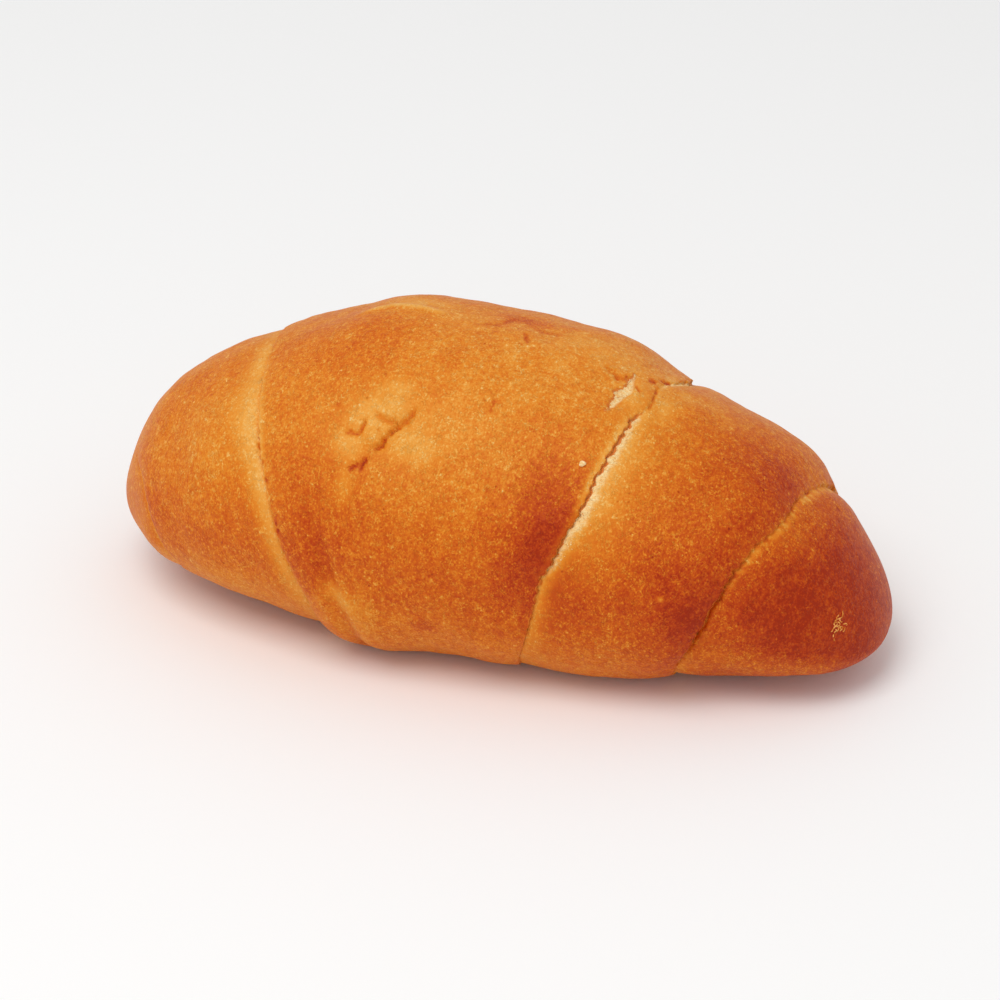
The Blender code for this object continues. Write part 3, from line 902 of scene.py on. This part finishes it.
def strands(paths, radii, sides):
    """Tubes: each ring is a circle across its path, and the first and last rings are closed."""
    count, rings = paths.shape[:2]
    way = np.gradient(paths, axis=1)
    way = way / np.linalg.norm(way, axis=-1, keepdims=True)
    across = np.cross(way, (0.31, 0.17, 0.93))
    across = across / np.linalg.norm(across, axis=-1, keepdims=True)
    over = np.cross(way, across)
    angles = np.linspace(0.0, 2.0 * math.pi, sides, endpoint=False)
    ring = (np.cos(angles)[:, None] * across[..., None, :]
            + np.sin(angles)[:, None] * over[..., None, :])
    skin = paths[..., None, :] + radii[..., None, None] * ring
    number = np.arange(count * rings * sides).reshape(count, rings, sides)
    beside = np.roll(number, -1, axis=2)
    walls = np.stack([number[:, :-1], beside[:, :-1], beside[:, 1:], number[:, 1:]], axis=-1)
    ends = np.concatenate([number[:, 0, ::-1], number[:, -1]])
    return skin.reshape(-1, 3), walls.reshape(-1, 4).tolist() + ends.tolist()


def two_tone(name, scale, detail, dark, light, rough=0.8, gloss=0.1):
    """Dry matt material: a noise of so many waves for each millimetre mixes two colours."""
    material, shader, start = finish_of(name)
    tone = start.noise(start.place(), scale, detail).eased(0.35, 0.65)
    tone.mixed(dark, light).into(shader, "Base Color")
    shader.inputs["Roughness"].default_value = rough
    shader.inputs["Specular IOR Level"].default_value = gloss
    return material


def add_piece(name, corners, faces, material):
    """A mesh object of millimetre points that rides with the roll and has one material."""
    mesh = bpy.data.meshes.new(name)
    mesh.from_pydata((corners * METRES).tolist(), [], faces)
    mesh.shade_smooth()
    mesh.materials.append(material)
    made = placed(name, mesh)
    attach(made, "root")


random = np.random.default_rng(61)
FIBRES_ON_CRACK = 30
FIBRES_ON_TEAR = 12
FIBRE_ANGLES_ON_CRACK = (109.0, 166.0)
FIBRE_ANGLES_ON_TEAR = (90.0, 110.5)
FIBRE_RINGS = 5
FIBRE_SIDES = 4
FIBRE_RADII = (0.025, 0.05)
crack_at = random.uniform(*FIBRE_ANGLES_ON_CRACK, FIBRES_ON_CRACK)
tear_at = random.uniform(*FIBRE_ANGLES_ON_TEAR, FIBRES_ON_TEAR)
at = np.concatenate([crack_at, tear_at])
first_x = np.concatenate([
    beside_crack(random.uniform(-0.1, 0.5, FIBRES_ON_CRACK), crack_at),
    across_tear(random.uniform(0.0, 0.4, FIBRES_ON_TEAR), tear_at),
])
reach = random.uniform(0.2, 1.3, at.size) ** 1.3
drift = random.normal(0.4, 1.6, at.size)
first, first_out = on_skin(first_x, at)
last, last_out = on_skin(first_x + reach, at + drift)
share = np.linspace(0.0, 1.0, FIBRE_RINGS)[:, None]
sag = random.uniform(0.02, 0.22, at.size)[:, None, None] * share * (1.0 - share) * 4.0
sway = random.normal(0.0, 0.09, (at.size, FIBRE_RINGS, 3))
middle_line = first[:, None] * (1.0 - share) + last[:, None] * share
middle_line = middle_line + sag * (first_out + last_out)[:, None] / 2.0 + sway
thickness = random.uniform(*FIBRE_RADII, at.size)[:, None] * (1.0 - 0.55 * share[:, 0])
fibre_cream = two_tone("fibre_cream", 1.4, 1.0, (0.64, 0.25, 0.045), (0.93, 0.64, 0.29))
add_piece("torn_fibres", *strands(middle_line, thickness, FIBRE_SIDES), fibre_cream)

# The crumb grains: small bits of the torn inner dough that stick to the open band of the crack,
# to the tear and to the notch where the crack ends. They lie half sunk in the surface.
GRAIN_RINGS = 3
GRAIN_SIDES = 6


def ball(rings, sides):
    """Ball of radius 1 and its faces: rings of points, then the top and the bottom pole.

    A point's height is the cosine of its angle from the top, and its place in its ring is the
    cosine and sine of its turn, both times the sine of that angle. The rings run down, so the
    net's faces are turned over to point outward.
    """
    down = math.pi * (np.arange(rings)[:, None] + 1.0) / (rings + 1.0)
    turns = np.linspace(0.0, 2.0 * math.pi, sides, endpoint=False)
    skin = np.stack(np.broadcast_arrays(
        np.sin(down) * np.cos(turns), np.sin(down) * np.sin(turns), np.cos(down)), axis=-1)
    skin = np.concatenate([skin.reshape(-1, 3), [(0.0, 0.0, 1.0), (0.0, 0.0, -1.0)]])
    walls, ends = closed_net(rings, sides)
    return skin, np.roll(walls[:, ::-1], 1, axis=1), ends[:, ::-1]


def grains(centres, sizes, random):
    """Rounded lumps: small balls, each stretched and each corner moved in or out by chance."""
    count = len(centres)
    skin, walls, ends = ball(GRAIN_RINGS, GRAIN_SIDES)
    lumps = skin * random.uniform(0.65, 1.25, (count, len(skin), 1))
    lumps = lumps * sizes[:, None] * random.uniform(0.7, 1.3, (count, 1, 3))
    starts = (np.arange(count) * len(skin))[:, None, None]
    faces = (walls + starts).reshape(-1, 4).tolist() + (ends + starts).reshape(-1, 3).tolist()
    return (centres[:, None] + lumps).reshape(-1, 3), faces


random = np.random.default_rng(62)
GRAINS_ON_CRACK = 70
GRAINS_ON_TEAR = 24
GRAINS_ON_NOTCH = 14
GRAIN_ANGLES_ON_CRACK = (109.0, 168.0)
GRAIN_ANGLES_ON_TEAR = (90.0, 111.0)
GRAIN_ANGLES_ON_NOTCH = (66.0, 88.0)
GRAIN_RADII = (0.06, 0.15)
at = random.uniform(*GRAIN_ANGLES_ON_CRACK, GRAINS_ON_CRACK)
x = beside_crack(0.35 + random.gamma(1.8, 0.40, GRAINS_ON_CRACK), at)
tear_at = random.uniform(*GRAIN_ANGLES_ON_TEAR, GRAINS_ON_TEAR)
tear_x = across_tear(random.uniform(0.1, 0.8, GRAINS_ON_TEAR), tear_at)
notch_at = random.uniform(*GRAIN_ANGLES_ON_NOTCH, GRAINS_ON_NOTCH)
notch_x = beside_crack(random.uniform(0.1, 0.8, GRAINS_ON_NOTCH), notch_at)
centres, out = on_skin(np.concatenate([x, tear_x, notch_x]),
                       np.concatenate([at, tear_at, notch_at]))
sizes = random.uniform(*GRAIN_RADII, len(centres))[:, None]
crumb_cream = two_tone("crumb_cream", 0.9, 1.0, (0.86, 0.47, 0.14), (0.96, 0.70, 0.33))
add_piece("crumb_grains", *grains(centres + 0.02 * out, sizes, random), crumb_cream)

# The loose crumb: one dry bit of bread about a millimetre long that fell onto the crust left of
# the crack. It lies on the surface and is not fixed.
LOOSE_CRUMB_AT = (20.2, 132.0)
LOOSE_CRUMB_HALF = (0.62, 0.43, 0.35)
CRUMB_RINGS = 23
CRUMB_SIDES = 32
CRUMB_LIFT = 0.20
CRUMB_UNEVEN = ((0.16, 1.1, 8), (0.05, 0.35, 9))
skin, walls, ends = ball(CRUMB_RINGS, CRUMB_SIDES)
skin = skin * (1.0 + layered(skin, CRUMB_UNEVEN))[:, None]
spot, out = on_skin(*np.array(LOOSE_CRUMB_AT)[:, None])
tangent = np.cross(out[0], (-0.35, 0.0, 1.0))
tangent = tangent / np.linalg.norm(tangent)
axes = np.stack([tangent, np.cross(out[0], tangent), out[0]])
lump = (skin * LOOSE_CRUMB_HALF) @ axes + spot[0] + CRUMB_LIFT * out[0]
dry_crumb = two_tone("dry_crumb", 3.0, 2.0, (0.86, 0.53, 0.20), (0.97, 0.75, 0.43))
add_piece("loose_crumb", lump, walls.tolist() + ends.tolist(), dry_crumb)

# The tip flake: a thin skin of crust that blistered and split on the brown tip, of which short
# pale branching shreds are left. They stick to the crust along their whole length.
FLAKE_AT = (63.7, 152.8)
SHRED_RADII = (0.084, 0.1365, 0.0945, 0.126, 0.042)
SHRED_SIDES = 6
# Each shred is five points: about how many millimetres to the right and down from the middle
TIP_SHREDS = (
    ((0.4, -1.9), (0.55, -1.4), (0.5, -0.8), (0.15, -0.5), (-0.3, -0.25)),
    ((-0.3, -0.25), (-0.6, 0), (-0.7, 0.35), (-0.3, 0.2), (-0.15, 0.5)),
    ((0.15, -0.5), (0.2, -0.15), (0.4, 0.05), (0.6, 0.1), (0.7, -0.05)),
    ((-0.15, 0.5), (-0.25, 0.85), (0.1, 1.1), (0.55, 1), (0.8, 0.85)),
    ((-0.25, 0.85), (-0.6, 1.1), (-0.8, 1.45), (-1, 1.85), (-1.15, 1.95)),
    ((0.1, 1.1), (0.2, 1.4), (0.1, 1.7), (-0.1, 1.85), (0.1, 2)),
    ((0.8, 0.85), (0.95, 1.1), (0.9, 1.35), (0.8, 1.5), (0.75, 1.65)),
    ((1.35, 1), (1.3, 1.4), (1.2, 1.75), (1.1, 1.9), (1.15, 2)),
    ((0.95, 0.45), (1.2, 0.3), (1.5, 0.25), (1.65, 0.45), (1.5, 0.65)),
    ((-0.6, 2.35), (-0.6, 2.5), (-0.65, 2.65), (-0.6, 2.8), (-0.65, 2.9)),
    ((-0.45, 3.15), (-0.4, 3.3), (-0.4, 3.45), (-0.35, 3.55), (-0.4, 3.65)),
    ((-0.3, -0.25), (-0.45, -0.5), (-0.35, -0.75), (-0.2, -0.9), (-0.15, -1.1)),
    ((-0.1, 0.15), (0.2, 0.3), (0.35, 0.5), (0.3, 0.75), (0, 0.85)),
    ((-0.7, 0.35), (-0.75, 0.6), (-0.6, 0.8), (-0.35, 0.9), (-0.25, 1.15)),
    ((0.25, 1), (0.45, 1.25), (0.65, 1.3), (0.7, 1.5), (0.55, 1.8)),
    ((-0.35, 1.5), (-0.15, 1.6), (-0.3, 1.9), (-0.5, 2), (-0.45, 2.3)),
)
nodes = np.array(TIP_SHREDS)
to_right, down = nodes[..., 0].ravel(), nodes[..., 1].ravel()
shred_points, out = on_skin(FLAKE_AT[0] + 0.80 * to_right,
                            FLAKE_AT[1] - 1.2 * to_right + 4.8 * down)
shred_lines = (shred_points + 0.01 * out).reshape(*nodes.shape[:2], 3)
shred_radii = np.broadcast_to(SHRED_RADII, nodes.shape[:2])
shred_gold = two_tone("shred_gold", 1.5, 1.0, (0.66, 0.20, 0.025), (0.88, 0.42, 0.11), 0.7, 0.15)
add_piece("tip_flake", *strands(shred_lines, shred_radii, SHRED_SIDES), shred_gold)

# The set: a plain white floor under the roll, one large soft lamp from the upper left and front,
# and even light all round. The camera stands at the photograph's angle, slightly to the right of
# the roll's front.
FLOOR_HALF = 3.0
floor_mesh = bpy.data.meshes.new("floor")
floor_mesh.from_pydata(
    [(-FLOOR_HALF, -FLOOR_HALF, 0.0), (FLOOR_HALF, -FLOOR_HALF, 0.0),
     (FLOOR_HALF, FLOOR_HALF, 0.0), (-FLOOR_HALF, FLOOR_HALF, 0.0)], [], [(0, 1, 2, 3)])
floor = placed("floor", floor_mesh)
white, shader, start = finish_of("white_floor")
shader.inputs["Base Color"].default_value = (0.97, 0.97, 0.97, 1.0)
shader.inputs["Roughness"].default_value = 0.9
floor_mesh.materials.append(white)


def aimed_from(place, target):
    """Position and turn of a lamp or camera that stands at a place and looks at a target."""
    back = Vector(place) - Vector(target)
    return Vector(place), back.to_track_quat("Z", "Y").to_euler()


LAMP_PLACE = (-0.14, -0.41, 0.89)
LAMP_TARGET = (0.0, 0.0, 0.02)
lamp_light = bpy.data.lights.new("key_lamp", "AREA")
lamp_light.size = 0.60
lamp_light.energy = 3.9
lamp_light.color = (1.0, 0.99, 0.97)
lamp = placed("key_lamp", lamp_light)
lamp.location, lamp.rotation_euler = aimed_from(LAMP_PLACE, LAMP_TARGET)

world = bpy.data.worlds.new("white_room")
world.use_nodes = True
bpy.context.scene.world = world
room = Socket(world.node_tree)
seen = room.node("LightPath", {}, {}, 0)
background = world.node_tree.nodes["Background"]
background.inputs["Color"].default_value = (1.0, 1.0, 1.0, 1.0)
(0.66 + 0.34 * seen).into(background, "Strength")

CAMERA_AZIMUTH = math.radians(17.55)
CAMERA_ELEVATION = math.radians(29.13)
CAMERA_DISTANCE = 0.62006
CAMERA_PIVOT = np.array([0.0, 0.00055, 0.030])
AIM_RIGHT = -0.00082
AIM_UP = -0.00825
back = np.array([
    math.sin(CAMERA_AZIMUTH) * math.cos(CAMERA_ELEVATION),
    -math.cos(CAMERA_AZIMUTH) * math.cos(CAMERA_ELEVATION),
    math.sin(CAMERA_ELEVATION),
])
right = np.array([math.cos(CAMERA_AZIMUTH), math.sin(CAMERA_AZIMUTH), 0.0])
up = np.cross(back, right)
camera_data = bpy.data.cameras.new("camera")
camera_data.lens = 127.77
camera_data.sensor_width = 36.0
camera = placed("camera", camera_data)
camera.location, camera.rotation_euler = aimed_from(
    CAMERA_PIVOT + CAMERA_DISTANCE * back, CAMERA_PIVOT + AIM_RIGHT * right + AIM_UP * up
)
bpy.context.scene.camera = camera
bpy.context.scene.view_settings.view_transform = "Standard"
